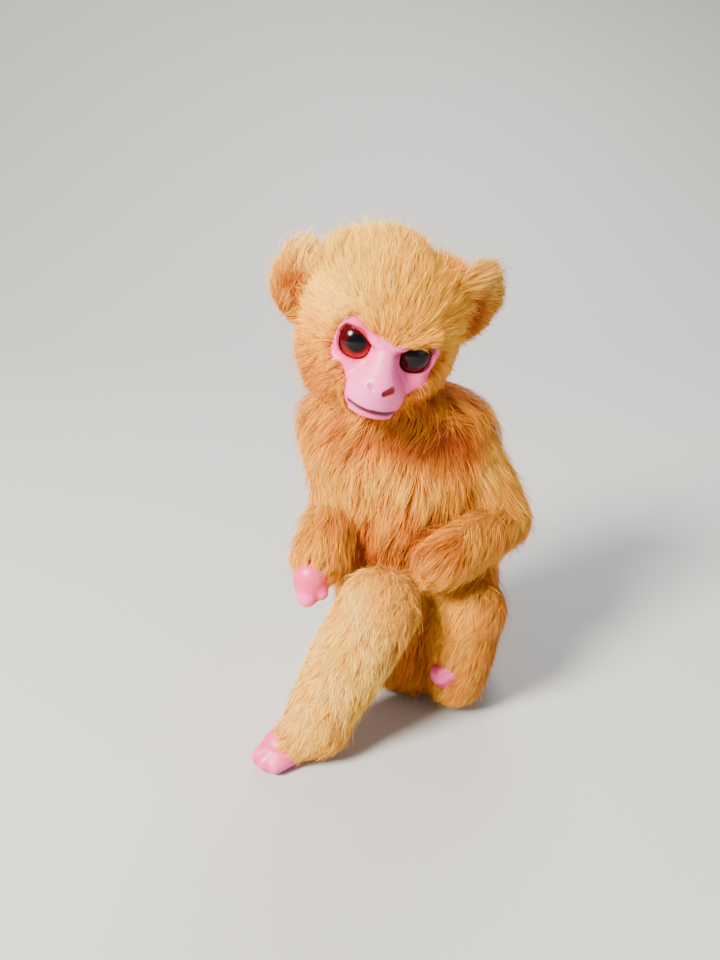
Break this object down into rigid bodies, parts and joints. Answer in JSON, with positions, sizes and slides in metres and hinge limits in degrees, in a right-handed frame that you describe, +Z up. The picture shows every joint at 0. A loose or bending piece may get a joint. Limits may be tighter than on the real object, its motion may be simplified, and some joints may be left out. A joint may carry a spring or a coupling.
{
  "type": "seated monkey figurine",
  "caption": "Seated long-haired golden monkey figurine with a pink face, hand and toes, one leg stretched out and the other tucked, with turning head and hinged limbs.",
  "frame": {"origin": "on the floor, at the middle of the flat seat", "axes": "+Z up, -Y the way the monkey faces, -X the monkey's right"},
  "size_m": [0.0671, 0.0629, 0.1208],
  "materials": {
    "head_fur": "long combed fur, pale cream to golden",
    "body_fur": "long combed fur, golden to rust brown",
    "arm_fur": "long combed fur, golden orange",
    "leg_fur": "short dense fur, pale tan",
    "pink_skin": "pink paint, satin",
    "eye_glass": "clear, polished",
    "eye_amber": "deep amber red, gloss",
    "eye_black": "black gloss",
    "moulded_core": "moulded, matt",
    "steel_pin": "plain wire pin",
    "seat_card": "hide side of the pelt, glued flat"
  },
  "bodies": {
    "torso": {"body_shell_front": "moulded_core", "body_shell_back": "moulded_core", "seat_plate": "seat_card", "body_pelt_front": "body_fur", "body_pelt_back": "body_fur"},
    "neck": {"neck_post": "moulded_core", "neck_pelt": "body_fur"},
    "head": {"skull_front": "moulded_core", "skull_back": "moulded_core", "head_pelt_front": "head_fur", "head_pelt_back": "head_fur", "face_mask": "pink_skin", "nod_pin": "steel_pin", "right_eye_dome": "eye_glass", "right_eye_pupil": "eye_black", "right_eye_iris": "eye_amber", "right_eye_back": "eye_black", "right_ear_core": "moulded_core", "right_ear_pelt": "head_fur", "left_eye_dome": "eye_glass", "left_eye_pupil": "eye_black", "left_eye_iris": "eye_amber", "left_eye_back": "eye_black", "left_ear_core": "moulded_core", "left_ear_pelt": "head_fur"},
    "right_upper_arm": {"right_shoulder_stem": "moulded_core", "right_upper_arm_core": "moulded_core", "right_upper_arm_pelt": "arm_fur", "right_elbow_pin": "steel_pin"},
    "right_forearm": {"right_forearm_core": "moulded_core", "right_forearm_pelt": "head_fur", "right_hand": "pink_skin"},
    "left_upper_arm": {"left_shoulder_stem": "moulded_core", "left_upper_arm_core": "moulded_core", "left_upper_arm_pelt": "arm_fur", "left_elbow_pin": "steel_pin"},
    "left_forearm": {"left_forearm_core": "moulded_core", "left_forearm_pelt": "head_fur", "left_hand": "pink_skin"},
    "right_thigh": {"right_hip_stem": "moulded_core", "right_thigh_core": "moulded_core", "right_thigh_pelt": "leg_fur", "right_knee_pin": "steel_pin"},
    "right_shin": {"right_shin_core": "moulded_core", "right_shin_pelt": "leg_fur", "right_foot": "pink_skin"},
    "left_thigh": {"left_hip_stem": "moulded_core", "left_thigh_core": "moulded_core", "left_thigh_pelt": "leg_fur", "left_knee_pin": "steel_pin"},
    "left_shin": {"left_shin_core": "moulded_core", "left_shin_pelt": "leg_fur", "left_foot": "pink_skin"}
  },
  "joints": [
    {"name": "neck_turn", "type": "hinge", "parent": "torso", "child": "neck", "pos_m": [-0.00432, -0.00109, 0.08265], "axis": [-0.0872, -0.1558, 0.9839], "range_deg": [-50, 50]},
    {"name": "head_nod", "type": "hinge", "parent": "neck", "child": "head", "pos_m": [-0.00432, -0.00109, 0.08265], "axis": [0.9976, 0.0698, 0], "range_deg": [-12, 12]},
    {"name": "right_shoulder", "type": "hinge", "parent": "torso", "child": "right_upper_arm", "pos_m": [-0.018, 0, 0.065], "axis": [-1, 0, 0], "range_deg": [-4, 30]},
    {"name": "right_elbow", "type": "hinge", "parent": "right_upper_arm", "child": "right_forearm", "pos_m": [-0.0188, -0.0035, 0.0535], "axis": [-0.9333, 0.3565, -0.0436], "range_deg": [-15, 20]},
    {"name": "left_shoulder", "type": "hinge", "parent": "torso", "child": "left_upper_arm", "pos_m": [0.0148, 0.0005, 0.065], "axis": [-1, 0, 0], "range_deg": [-2, 25]},
    {"name": "left_elbow", "type": "hinge", "parent": "left_upper_arm", "child": "left_forearm", "pos_m": [0.0246, 0.001, 0.0485], "axis": [-0.7317, 0.5382, -0.4183], "range_deg": [-15, 6]},
    {"name": "right_hip", "type": "hinge", "parent": "torso", "child": "right_thigh", "pos_m": [-0.008, 0.008, 0.0175], "axis": [-1, 0, 0], "range_deg": [-10, 5]},
    {"name": "right_knee", "type": "hinge", "parent": "right_thigh", "child": "right_shin", "pos_m": [-0.0066, -0.023, 0.037], "axis": [0.8675, -0.2362, -0.4378], "range_deg": [-25, 12]},
    {"name": "left_hip", "type": "hinge", "parent": "torso", "child": "left_thigh", "pos_m": [0.0176, 0.0095, 0.018], "axis": [-1, 0, 0], "range_deg": [-12, 3]},
    {"name": "left_knee", "type": "hinge", "parent": "left_thigh", "child": "left_shin", "pos_m": [0.017, -0.0135, 0.0305], "axis": [0.9691, -0.1369, -0.2054], "range_deg": [-25, 3]}
  ]
}
